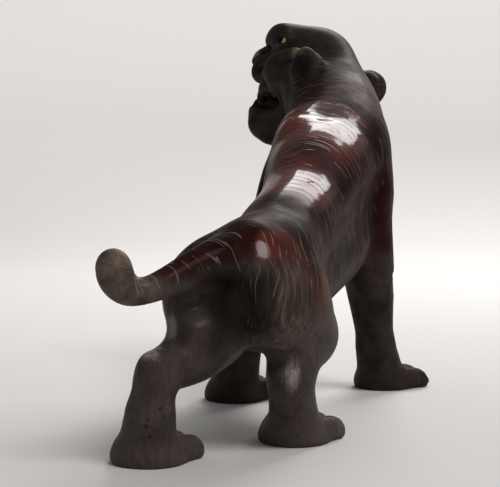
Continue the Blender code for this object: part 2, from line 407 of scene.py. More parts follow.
def legs(clay):
    # Right hind: under the body, well bent.
    clay.mass((-14.6, 8.0, 43.0), (9.4, 17.0, 20.0), k=6)
    leg(clay, [(-14.2, 4, 46, 11.6), (-15.0, 16, 38, 11.0), (-16.0, 24, 31, 9.0)])
    leg(clay, [(-16.0, 24, 31, 9.0), (-16.2, 14, 27, 7.7), (-15.4, 7, 21, 6.4)])
    leg(clay, [(-15.4, 6.5, 21, 6.2), (-15.0, 11, 13, 6.0), (-14.8, 17, 6, 6.4)])
    clay.mass((-15.4, 3.2, 23.0), (3.4, 3.4, 4.6), k=4)
    # Left hind: stretched back, its shank nearly level.
    clay.mass((6.5, -2.0, 42.0), (9.8, 18.0, 19.0), k=6)
    leg(clay, [(6, -6, 46, 12), (8.0, 6, 38, 12), (9.0, 14, 32, 9.5)])
    leg(clay, [(9.0, 13, 31, 9.0), (10.8, -4, 27.5, 8.3), (13.2, -21, 26, 6.4)])
    leg(clay, [(13.6, -24.0, 26.0, 5.6), (15.2, -23, 17, 6.2), (16.8, -20.5, 7, 6.8)])
    clay.mass((13.8, -27.2, 28.2), (3.4, 3.4, 4.2), k=4)
    # Right fore: reaching forward.
    leg(
        clay,
        [
            (-15.6, 99, 74, 11.4),
            (-17.2, 104, 57, 10.0),
            (-17.8, 109, 41, 9.2),
            (-18.2, 114, 27, 7.6),
            (-18.8, 118, 14, 6.7),
            (-19.2, 122, 7, 7.0),
        ],
    )
    clay.mass((-18.8, 101.5, 41.0), (4.6, 3.6, 6.0), k=6)
    # Left fore: set back under the shoulder.
    leg(
        clay,
        [
            (5.2, 92, 74, 11.8),
            (9.4, 89, 57, 10.6),
            (14, 86, 42, 9.3),
            (18.0, 82, 28, 7.6),
            (20.8, 80, 15, 6.7),
            (21.8, 81, 7, 7.0),
        ],
    )
    clay.mass((14.3, 79.5, 43.0), (4.6, 3.6, 6.0), k=6)


def feet(clay):
    foot(clay, (-13.4, 25.0, 0.0), -12.0, (-14.9, 12.6, 13.0))
    foot(clay, (18.0, -13.4, 0.0), -10.0, (16.0, -22.2, 13.5))
    foot(clay, (-21.2, 129.0, 0.0), -32.0, (-18.7, 117.5, 15.0))
    foot(clay, (23.2, 89.5, 0.0), -16.0, (20.8, 80, 15.0))


TAIL = [
    (-8.5, 6, 57.2, 8.4),
    (-6.5, -3, 57.2, 7.0),
    (-1.0, -12, 56.1, 5.5),
    (4.5, -19, 53.4, 4.4),
    (9.5, -25, 50.4, 3.6),
    (14.6, -29, 48.2, 3.0),
    (18.6, -31.5, 48.4, 3.4),
    (21.4, -32, 51.2, 4.1),
    (22.8, -31, 55.0, 4.3),
]


def tail(clay):
    # The body falls away under the root, so that the tail stands clear of the thighs.
    clay.mass((-1.5, -17.5, 45.0), (8.6, 8.0, 6.6), k=4, cut=True)
    clay.mass((7.5, -24.5, 43.5), (7.0, 8.5, 5.0), k=7, cut=True)
    clay.limb(TAIL[:2], k=8)
    clay.limb(TAIL[1:], k=1.6, seam=1.5)


def hindquarters(clay):
    m = MIDLINE
    # The cleft between the thighs, and what lies under the tail.
    clay.mass((m + 2.0, -21.0, 36.0), (5.2, 10.0, 13.5), k=5, cut=True)
    clay.mass((1.4, -10.5, 48.2), (2.8, 2.6, 1.3), k=3.0)
    clay.mass((-6.0, -11.6, 46.8), (2.4, 2.4, 1.8), k=3.0)
    clay.mass((-3.4, -10.0, 42.6), (4.6, 3.2, 3.2), k=5.0)
    # Where the haunch tucks in above the right hock.
    clay.groove([(-9.0, -3.5, 30), (-12.0, -1.5, 27.5), (-16.5, 0.0, 26.5)], 1.6, k=5)
    # The left thigh's muscle stands out over the level shank.
    clay.groove([(13.5, -15.5, 38), (12.8, -17.5, 35.5), (9.5, -19.0, 33.0)], 1.3, k=3)
    # Loose skin from stifle to belly.
    clay.limb([(-16.0, 26, 36, 2.6), (-13.5, 36, 38.5, 2.2), (-10.0, 46, 37, 1.6)], k=7)
    clay.limb([(9.0, 16, 36, 2.6), (4.0, 28, 38.5, 2.2), (-2.0, 40, 37, 1.6)], k=7)


def shoulders(clay):
    # Creases of skin at the point of the right elbow.
    for drop in (0.0, 2.6, 5.0):
        clay.groove(
            [(-26.8, 104, 43 - drop), (-27.4, 108, 41.8 - drop), (-26.2, 112.5, 41.5 - drop)],
            0.7,
            k=1.2,
        )
    # Division between shoulder and upper arm, and the line of the ribs' edge.
    clay.groove([(-26.5, 91, 74), (-26.5, 90, 62), (-25.5, 93, 52)], 1.6, k=6)
    clay.groove([(15.0, 80, 76), (17.0, 78, 64), (20.0, 77, 54)], 1.6, k=6)


def neck_and_skull(clay):
    m = MIDLINE
    clay.limb(
        [
            (m, 97, 84.5, 17.6),
            (-5.4, 110, 92.0, 18.0),
            (-1.5, 123, 100, 17.0),
            (1.5, 131, 107, 14.8),
        ],
        k=6,
    )
    head_mass(clay, (8.0, 0, 3.4), (16.0, 15.2, 14.6), k=5)
    head_mass(clay, (19.0, 0, 8.8), (8.4, 11.0, 7.4), k=3, pitch=-14)
    head_mass(clay, (23.0, 0, 2.0), (9.4, 8.2, 7.2), k=4, pitch=-12)
    for side in (-1, 1):
        head_mass(clay, (12.5, side * 10.6, -2.5), (10.0, 6.6, 9.0), k=4)
        head_mass(clay, (19.6, side * 4.8, -4.8), (6.0, 5.0, 5.4), k=3)
    head_limb(
        clay,
        [(6, 0, -11.5, 9.6), (15, 0, -17.8, 8.2), (21.5, 0, -20.8, 7.4), (26.6, 0, -20.8, 6.9)],
        k=3,
        seam=2.0,
    )


# Raised fold from the lip up over the cheekbone to the front of the ear, on the head's axes.
FOLD = [
    (24.8, 6.2, -8.8, 1.6),
    (21.6, 9.0, -5.0, 2.2),
    (17.5, 12.2, 0.2, 2.4),
    (8.5, 15.4, 3.6, 2.2),
    (2.0, 17.6, 4.4, 1.4),
]
EAR_RIM = [
    (1.8, EAR_SPREAD - 3.0, 4.0, 0.9),
    (-2.4, EAR_SPREAD - 1.0, 5.0, 1.1),
    (-6.8, EAR_SPREAD - 0.6, 2.8, 1.3),
    (-8.2, EAR_SPREAD - 0.8, -1.6, 1.3),
    (-5.6, EAR_SPREAD - 1.8, -6.6, 1.2),
    (-2.0, EAR_SPREAD - 3.8, -10.0, 1.0),
]


def face(clay):
    # The bridge of the nose runs down from between the brows.
    head_limb(clay, [(18, 0, 9.6, 4.4), (25.5, 0, 6.8, 3.8), (32.4, 0, 3.8, 3.2)], k=3)
    for side in (-1, 1):
        # The brow hangs over the eye and draws in towards the bridge.
        head_limb(
            clay,
            [
                (12.5, side * 12.0, 9.6, 1.8),
                (17.6, side * 10.2, 12.4, 2.2),
                (22.8, side * 7.4, 12.0, 2.6),
                (27.0, side * 4.8, 9.4, 2.4),
            ],
            k=3.0,
        )
        head_mass(clay, (19.5, side * 4.5, 10.6), (6.4, 5.4, 4.4), k=3.5, pitch=-20)
        head_mass(clay, (13.5, side * 6.0, 9.8), (8.5, 6.0, 5.4), k=3.5)
        # Flank of the muzzle, under the bridge.
        head_mass(clay, (28.0, side * 3.6, -1.6), (6.2, 3.8, 5.4), k=3.0, pitch=-25)
    # Nose with its wings.
    head_mass(clay, (33.8, 0, 2.6), (2.9, 4.0, 3.4), k=1.2)
    for side in (-1, 1):
        head_mass(clay, (33.6, side * 2.7, 1.2), (2.2, 1.9, 2.1), k=0.8)
        head_mass(clay, (35.8, side * 1.9, 1.0), (1.6, 1.0, 0.9), k=0.6, cut=True)
    # Mouth and throat, then the lips, the chin and the rim that runs round them.
    head_mass(clay, (25.5, 0, -13.2), (13.5, 6.8, 4.4), k=1.5, pitch=-8, cut=True)
    for side in (-1, 1):
        head_mass(clay, (16.4, side * 7.4, -11.8), (6.4, 4.2, 4.4), k=1.5, pitch=-20, cut=True)
    head_mass(clay, (29.8, 0, -18.2), (3.3, 4.4, 3.0), k=1.6)
    for side in (-1, 1):
        head_mass(clay, (25.2, side * 3.4, -8.4), (2.9, 3.2, 2.5), k=1.4)
        head_limb(
            clay,
            [
                (27.2, side * 1.6, -9.6, 1.4),
                (24.8, side * 6.0, -9.6, 1.6),
                (20.0, side * 8.8, -8.2, 1.7),
                (12.5, side * 9.4, -11.0, 1.7),
                (11.5, side * 8.8, -14.5, 1.5),
                (18.0, side * 7.0, -17.8, 1.4),
                (25.0, side * 5.8, -18.0, 1.4),
                (31.0, side * 2.4, -16.8, 1.4),
            ],
            k=1.4,
        )
        head_limb(clay, [(a, side * b, c, r) for a, b, c, r in FOLD], k=1.6)
        # A second, lower one, from the corner of the mouth to the ruff.
        head_limb(
            clay,
            [
                (17.0, side * 11.4, -6.6, 1.3),
                (11.0, side * 14.6, -5.6, 1.6),
                (5.0, side * 17.0, -4.0, 1.1),
            ],
            k=1.6,
        )
        # The snarl's creases beside the nose.
        low = [(29.5, side * 6.6, -2.6), (25, side * 8.6, 0.6), (18.5, side * 11.2, 4.4)]
        head_groove(clay, low, 1.3, k=1.8)
        high = [(30.0, side * 3.8, 4.2), (25.5, side * 5.6, 6.6), (21, side * 7.4, 7.6)]
        head_groove(clay, high, 0.9, k=1.4)
        # Socket, with lids, for the eye.
        head_mass(clay, (14.6, side * 12.0, 8.8), (3.0, 2.8, 2.2), k=1.0, yaw=side * 35, cut=True)
        head_limb(
            clay,
            [
                (19.6, side * 8.6, 8.8, 0.9),
                (17.6, side * 10.8, 11.6, 1.2),
                (13.4, side * 12.9, 11.0, 1.1),
                (11.0, side * 13.6, 8.8, 0.8),
            ],
            k=1.0,
        )
        head_limb(
            clay,
            [
                (19.4, side * 8.6, 7.6, 0.8),
                (16.8, side * 11.8, 6.4, 0.9),
                (12.8, side * 13.6, 7.4, 0.8),
            ],
            k=0.9,
        )


def teeth_and_tongue(clay):
    for side in (-1, 1):
        for fang in (
            [(26.4, 4.2, -8.6, 1.6), (27.0, 4.2, -12.4, 1.1), (26.4, 4.1, -15.0, 0.4)],
            [(28.8, 3.0, -19.0, 1.4), (29.4, 3.1, -15.6, 1.0), (29.2, 3.1, -13.0, 0.4)],
        ):
            head_limb(clay, [(a, side * b, c, r) for a, b, c, r in fang], k=0.6)
        for i in range(3):
            head_mass(clay, (22.4 - 3.2 * i, side * 6.4, -10.0), (1.5, 0.9, 1.7), k=0.6)
            head_mass(clay, (23.5 - 3.2 * i, side * 4.9, -17.2), (1.4, 0.9, 1.5), k=0.6)
    for i in range(4):
        head_mass(clay, (28.0, (i - 1.5) * 1.4, -10.0), (0.9, 0.7, 1.5), k=0.5)
        head_mass(clay, (31.0, (i - 1.5) * 1.1, -18.4), (0.8, 0.6, 1.2), k=0.5)
    head_limb(
        clay,
        [(12, 0, -14.0, 4.4), (18, 0, -14.6, 4.6), (24, 0, -15.2, 3.6), (28, 0, -15.8, 2.2)],
        k=1.2,
        seam=1.5,
    )
    head_groove(clay, [(20, 0, -9.6), (27, 0, -12.8)], 0.5, k=0.8)


def ruff(clay):
    """Cheek fur: overlapping locks swept back and down from the jaw and the ear."""
    for side in (-1, 1):
        head_mass(clay, (1.5, side * 11.6, -8.5), (7.5, 6.6, 11.0), k=4)
        for ahead, out, up, length in (
            (8.5, 14.2, -1.5, 9.5),
            (9.0, 13.6, -6.0, 10.5),
            (8.5, 12.2, -10.5, 11.0),
            (7.5, 9.8, -15.0, 10.5),
            (6.0, 7.0, -18.5, 9.5),
        ):
            swing = (up + 11.0) * 0.18
            head_limb(
                clay,
                [
                    (ahead, side * out, up, 2.0),
                    (ahead - 0.45 * length, side * (out + 2.0), up - 1.6 + swing, 2.3),
                    (ahead - 0.8 * length, side * (out + 2.2), up - 4.2 + swing, 1.6),
                    (ahead - length, side * (out + 1.6), up - 6.0 + swing, 0.5),
                ],
                k=1.2,
            )
        # Locks behind the ear, lying back over the neck.
        for ahead, out, up in ((-7.0, 13.0, -5.0), (-6.0, 13.6, -8.6), (-4.5, 13.4, -12.0)):
            head_limb(
                clay,
                [
                    (ahead, side * out, up, 1.5),
                    (ahead - 4.5, side * (out - 1.8), up - 0.8, 1.7),
                    (ahead - 10.0, side * (out - 5.0), up - 2.4, 0.6),
                ],
                k=2.4,
            )
    # Beard under the chin.
    for offset in (-2.4, 0.0, 2.4):
        head_limb(
            clay,
            [
                (24, offset, -24.9, 2.2),
                (20.5, offset * 1.3, -26.8, 1.7),
                (17, offset * 1.5, -27.6, 0.6),
            ],
            k=1.6,
        )


def ears(clay):
    """Thick round ears laid back: each cup opens outward, with a rolled rim behind it."""
    for side in (-1, 1):
        spread = side * EAR_SPREAD
        head_mass(clay, (-3.0, spread - side * 4.0, -1.6), (6.4, 4.4, 7.0), k=3.0, yaw=side * 8)
        head_mass(clay, (-2.6, spread - side * 1.6, -1.4), (5.8, 3.0, 6.4), k=1.5, yaw=side * 10)
        cup = (-1.2, spread + side * 1.2, -1.2)
        head_mass(clay, cup, (4.4, 4.2, 5.6), k=1.0, yaw=side * 10, cut=True)
        head_limb(clay, [(a, side * b, c, r) for a, b, c, r in EAR_RIM], k=1.0)


def graded(low, high, coarse, fine, fine_from, fine_to):
    """Grid lines from low to high, closer together between fine_from and fine_to."""
    before = np.arange(low, fine_from, coarse)
    within = np.arange(before[-1] + fine, fine_to, fine)
    after = np.arange(within[-1] + coarse, high + coarse, coarse)
    return np.concatenate([before, within, after])


def sculpt():
    fine = GRID * HEAD_GRID
    clay = Clay(
        (
            np.arange(-46, 46 + GRID, GRID * 0.9),
            graded(-48, 160, GRID, fine, 110, 156),
            graded(-3, 136, GRID, fine, 86, 134),
        )
    )
    trunk(clay)
    legs(clay)
    neck_and_skull(clay)
    # The skin is taken in by as much as the soft seams swell it.
    clay.field += SWELL
    feet(clay)
    tail(clay)
    hindquarters(clay)
    shoulders(clay)
    face(clay)
    teeth_and_tongue(clay)
    ruff(clay)
    ears(clay)
    clay.flatten_below(0.0)
    return clay.skin()


def to_scene(points):
    return (points - (*MIDDLE, 0.0)) * (MM, -MM, MM)


def from_scene(points):
    return points / (MM, -MM, MM) + (*MIDDLE, 0.0)


def mesh_object(name, points, quads):
    mesh = bpy.data.meshes.new(name)
    mesh.vertices.add(len(points))
    mesh.vertices.foreach_set("co", to_scene(points).ravel())
    # The scene's forward axis is reversed, so each face is turned round.
    loops = quads[:, ::-1].ravel().astype(np.int32)
    mesh.loops.add(len(loops))
    mesh.loops.foreach_set("vertex_index", loops)
    mesh.polygons.add(len(quads))
    mesh.polygons.foreach_set("loop_start", np.arange(0, len(loops), 4, dtype=np.int32))
    mesh.update(calc_edges=True)
    mesh.validate()
    mesh.polygons.foreach_set("use_smooth", np.ones(len(mesh.polygons), bool))
    obj = bpy.data.objects.new(name, mesh)
    bpy.context.scene.collection.objects.link(obj)
    return obj


def thinned(obj):
    """The flatter stretches give up triangles until the mesh is within its budget."""
    count = 2 * len(obj.data.polygons)
    if count > MOST_TRIANGLES:
        modifier = obj.modifiers.new("thin", "DECIMATE")
        modifier.ratio = MOST_TRIANGLES / count
        bpy.context.view_layer.objects.active = obj
        bpy.ops.object.modifier_apply(modifier=modifier.name)
        obj.data.polygons.foreach_set("use_smooth", np.ones(len(obj.data.polygons), bool))


def step(low, high, value):
    t = np.clip((value - low) / (high - low), 0, 1)
    return t * t * (3 - 2 * t)


def band(value, rise_from, rise_to, fall_from, fall_to):
    """1 between rise_to and fall_from, fading to 0 on each side."""
    return step(rise_from, rise_to, value) * step(fall_to, fall_from, value)


def near_path(points, stations, steps=8):
    """Distance along a path, and radial offset from it, of each point."""
    path = smooth_path(stations, steps)
    centre = path[:, :3]
    length = np.concatenate([[0], np.cumsum(np.linalg.norm(np.diff(centre, axis=0), axis=1))])
    best = np.full(len(points), 1e9)
    along = np.zeros(len(points))
    for i in range(len(centre) - 1):
        run = centre[i + 1] - centre[i]
        t = np.clip(((points - centre[i]) @ run) / (run @ run), 0, 1)
        gap = np.linalg.norm(points - centre[i] - t[:, None] * run, axis=1)
        closer = gap < best
        best[closer] = gap[closer]
        along[closer] = (length[i] + t * (length[i + 1] - length[i]))[closer]
    return along, best, length[-1]


def curvature(mesh, points, normals):
    """Mean curvature (1/mm) at each vertex, convex above zero, evened out over neighbours."""
    edges = np.empty(len(mesh.edges) * 2, np.int32)
    mesh.edges.foreach_get("vertices", edges)
    a, b = edges.reshape(-1, 2).T

    def around(values):
        total = np.zeros_like(values)
        np.add.at(total, a, values[b])
        np.add.at(total, b, values[a])
        return total

    count = around(np.ones(len(points)))
    length = np.zeros(len(points))
    span = np.linalg.norm(points[a] - points[b], axis=1)
    np.add.at(length, a, span)
    np.add.at(length, b, span)
    length /= count
    offset = np.stack([around(column) / count for column in points.T], 1) - points
    bend = -2.0 * (offset * normals).sum(1) / length**2
    for _ in range(2):
        bend = 0.5 * bend + 0.5 * around(bend) / count
    return bend


def spot(local, centre, radius):
    """1 at a place on the head, fading out over radius, the same on both sides."""
    away = np.stack([local[:, 0], np.abs(local[:, 1]), local[:, 2]], 1) - centre
    return step(radius, 0.35 * radius, np.linalg.norm(away, axis=1))


def patch(points, centre, radii, core):
    """1 in the core of an ellipsoid, fading out towards its surface."""
    return step(1.0, core, np.linalg.norm((points - centre) / radii, axis=1))


def paint(obj):
    """Fields that the patina reads: where the hair runs, where each tone lies, and where shade,
    glow and highlights are painted.
    """
    mesh = obj.data
    points = np.empty(len(mesh.vertices) * 3)
    mesh.vertices.foreach_get("co", points)
    points = from_scene(points.reshape(-1, 3))
    normals = np.empty(len(points) * 3, np.float32)
    mesh.vertices.foreach_get("normal", normals)
    normals = normals.reshape(-1, 3) * (1, -1, 1)
    x, f, z = points.T
    upward = normals[:, 2]
    along, gap, total = near_path(points, TAIL)
    tail_mask = step(12.0, 24.0, along) * step(9.5, 7.0, gap) * step(2.0, 8.0, x + 10)
    # Along the spine and on down the tail, bowed back towards the belly.
    side = np.abs(x - MIDLINE)
    spine = [(MIDLINE, forward, up, 1) for forward, up in ((120, 92), (90, 82), (50, 66), (18, 54))]
    hoop, _, _ = near_path(points, spine + TAIL[2:])
    hoop = hoop - 0.010 * side**2
    local = (points - HEAD_AT) @ HEAD.T
    head = step(-14.0, -2.0, local[:, 0]) * step(78, 92, z) * step(100, 116, f + 0.3 * x)
    neck = step(106, 118, f) * step(80, 92, z)
    hind_low = step(46, 34, z + 0.12 * f) * step(60, 45, f)
    fore_low = step(56, 42, z) * step(66, 76, f)
    limb = np.maximum(hind_low, fore_low)
    rump = step(34, 18, f) * (1 - limb) * (1 - tail_mask)
    trunk_mask = (1 - limb) * (1 - neck) * (1 - tail_mask) * (1 - rump)
    # The seam under the tail.
    under = [
        (left - 0.15 * r, forward - 0.80 * r, up - 0.55 * r, r)
        for left, forward, up, r in smooth_path(TAIL[1:7], 3)
    ]
    _, off_seam, _ = near_path(points, under, 1)
    lock = local[:, 2] + 0.25 * local[:, 0]
    course = np.stack([hoop, x + 0.06 * z, lock], 1)
    mesh.attributes.new("course", "FLOAT_VECTOR", "POINT").data.foreach_set(
        "vector", course.astype(np.float32).ravel()
    )
    red = step(28, 56, z + 9 * upward) * (1 - 0.8 * step(92, 126, f) * step(70, 96, z))
    red = red * step(0.15, 0.8, trunk_mask + tail_mask + rump)
    red = red * (1 - step(0, 5, x) * step(-4, -9, f) * step(54, 48, z))
    # The cleft between the thighs under the tail: painted dark as shade, and left without red, hair
    # lines or lacquer.
    cleft = step(12, 6, np.abs(x - (MIDLINE - 0.5))) * step(-7, -13, f) * step(57, 50, z)
    cleft = cleft * step(24, 32, z)
    bend = curvature(mesh, points, normals)
    rubbed = np.maximum.reduce(
        [
            spot(local, (35.0, 2.6, 3.6), 3.4),
            spot(local, (26.0, 6.4, 12.2), 3.6),
            spot(local, (3.8, EAR_SPREAD - 5.0, 4.6), 3.0),
        ]
    )
    mirrored = np.stack([local[:, 0], np.abs(local[:, 1]), local[:, 2]], 1)
    _, off_fold, _ = near_path(mirrored, FOLD)
    _, off_rim, _ = near_path(mirrored, EAR_RIM)
    flaw = np.linalg.norm((points - (11.8, -29.0, 11.0)) * (1.5, 1.0, 0.8), axis=1)
    # Painted highlights: pale patches on the hocks and the left thigh stand in for glints of light.
    glint_patches = np.maximum.reduce(
        [
            patch(points, (14.3, -27.9, 31.6), (4.0, 4.0, 2.2), 0.3),
            patch(points, (-17.6, 0.8, 23.4), (3.0, 4.0, 7.0), 0.3),
            patch(points, (12.4, -13.8, 36.4), (3.0, 4.0, 5.0), 0.3),
        ]
    )
    furry = np.maximum(trunk_mask, np.maximum(rump, tail_mask))
    # The gloss field thickens the lacquer and also paints the brighter, lit red on the up-facing
    # back.
    back_gloss = trunk_mask * step(16, 28, f) * step(93, 86, f) * step(0.30, 0.72, upward)
    rump_gloss = rump * step(0.85, 0.6, upward) * step(-9.5, -12.0, x) * step(0, -5, f)
    nape = step(0.0, -5.0, local[:, 0]) * step(-22, -15, local[:, 0]) * step(9, 4, local[:, 2])
    nape = nape * step(-18, -12, local[:, 2]) * step(96, 104, z + 0.2 * f)
    tones = {
        "red": red * (1 - cleft),
        "hair": furry * step(38, 52, z - 0.2 * f) * step(-0.35, 0.10, upward) * (1 - cleft),
        "gloss_and_lit_red": back_gloss + (rump_gloss + 0.06 * tail_mask) * step(0.0, 0.4, upward),
        "nape": nape,
        "tip": step(total - 20, total - 9, along) * tail_mask,
        "haunch": step(11, 5, np.abs(x + 15.5)) * step(3, -5, f) * band(z, 27, 36, 50, 60),
        "cleft": cleft,
        "edge": step(0.28, 0.75, bend),
        "hollow": step(-0.10, -0.50, bend),
        "rubbed": rubbed,
        "seam": step(0.9, 0.3, off_seam) * band(along, 10, 18, total - 22, total - 16),
        "paw": step(13, 4, z),
        # Painted highlight along the cheek fold and the ear's rim.
        "pale": np.maximum(0.8 * step(2.6, 1.2, off_fold), step(2.0, 1.2, off_rim)),
        "flaw": step(6.5, 3.5, flaw),
        "glint_patches": glint_patches,
        # Painted glow: an orange patch on the outer right haunch.
        "haunch_glow": patch(points, (-23.0, 6.0, 47.0), (9.0, 11.0, 12.0), 0.35),
        "sooty": np.maximum(fore_low, head),
    }
    for name, value in tones.items():
        mesh.attributes.new(name, "FLOAT", "POINT").data.foreach_set(
            "value", value.astype(np.float32)
        )


class Nodes:
    """Short names for the few node kinds that the materials use."""

    def __init__(self, name):
        self.material = bpy.data.materials.new(name)
        self.material.use_nodes = True
        self.tree = self.material.node_tree
        self.shader = self.tree.nodes["Principled BSDF"]

    def add(self, kind, inputs=None, **settings):
        node = self.tree.nodes.new(kind)
        for key, value in settings.items():
            setattr(node, key, value)
        for key, value in (inputs or {}).items():
            self.put(node.inputs[key], value)
        return node

    def put(self, socket, value):
        if isinstance(value, bpy.types.NodeSocket):
            self.tree.links.new(value, socket)
        elif value is not None:
            socket.default_value = value

    def math(self, operation, a, b=None, clamp=False):
        node = self.add("ShaderNodeMath", operation=operation, use_clamp=clamp)
        for socket, value in zip(node.inputs, (a, b)):
            self.put(socket, value)
        return node.outputs[0]

    def times(self, a, b):
        return self.math("MULTIPLY", a, b)

    def field(self, name):
        return self.add("ShaderNodeAttribute", attribute_name=name).outputs["Fac"]

    def vector(self, name):
        return self.add("ShaderNodeAttribute", attribute_name=name).outputs["Vector"]

    def scaled(self, vector, scale):
        node = self.add("ShaderNodeVectorMath", operation="MULTIPLY")
        self.put(node.inputs[0], vector)
        node.inputs[1].default_value = scale
        return node.outputs[0]

    def noise(self, vector, scale, detail=2.0, roughness=0.5):
        inputs = {
            "Vector": vector,
            "Scale": scale,
            "Detail": detail,
            "Roughness": roughness,
        }
        return self.add("ShaderNodeTexNoise", inputs).outputs["Fac"]

    def band(self, value, low, high, to_low=0.0, to_high=1.0):
        node = self.add("ShaderNodeMapRange", interpolation_type="SMOOTHSTEP")
        names = ("Value", "From Min", "From Max", "To Min", "To Max")
        for key, item in zip(names, (value, low, high, to_low, to_high)):
            self.put(node.inputs[key], item)
        return node.outputs[0]

    def mix(self, factor, a, b):
        node = self.add("ShaderNodeMix", data_type="RGBA")
        self.put(node.inputs["Factor"], factor)
        self.put(node.inputs[6], a)
        self.put(node.inputs[7], b)
        return node.outputs[2]


def chased(n, place_mm, coordinate, spacing, wander, broken, seed, width=0.20):
    """Thin lines cut at a wavering spacing (mm) along a coordinate, broken into strokes."""
    sway = n.times(n.noise(place_mm, 0.06, 1.0), wander)
    count = n.math("ADD", n.math("DIVIDE", coordinate, spacing), n.math("ADD", sway, seed))
    away = n.math("ABSOLUTE", n.math("SUBTRACT", n.math("FRACT", count), 0.5))
    away = n.times(away, spacing)
    shift = n.add("ShaderNodeCombineXYZ")
    n.put(shift.inputs[0], n.times(n.math("FLOOR", count), 17.3))
    moved = n.add("ShaderNodeVectorMath", operation="ADD")
    n.put(moved.inputs[0], place_mm)
    n.put(moved.inputs[1], shift.outputs[0])
    kept = n.noise(moved.outputs[0], 0.11, 1.0)
    line = n.band(away, 0.3 * width, width, 1.0, 0.0)
    return n.times(line, n.band(kept, broken, broken + 0.07))


def chased_hair(n, place_mm):
    """Light incised hair: hoops over the back, rings on the tail, strokes down the haunch."""
    course = n.vector("course")
    split = n.add("ShaderNodeSeparateXYZ", {"Vector": course})
    hoop, fall, lock = split.outputs
    long_lines = chased(n, place_mm, hoop, spacing=3.4, wander=2.6, broken=0.46, seed=0.3)
    short_lines = chased(
        n, place_mm, hoop, spacing=1.9, wander=4.0, broken=0.56, seed=5.1, width=0.16
    )
    back = n.times(n.math("MAXIMUM", long_lines, short_lines), n.field("hair"))
    falling = chased(
        n, place_mm, fall, spacing=1.5, wander=5.0, broken=0.54, seed=2.7, width=0.17
    )
    falling = n.times(falling, n.field("haunch"))
    locks = chased(
        n, place_mm, lock, spacing=2.1, wander=3.0, broken=0.47, seed=8.2, width=0.40
    )
    locks = n.times(locks, n.field("nape"))
    return n.math("MAXIMUM", n.math("MAXIMUM", back, falling), locks)


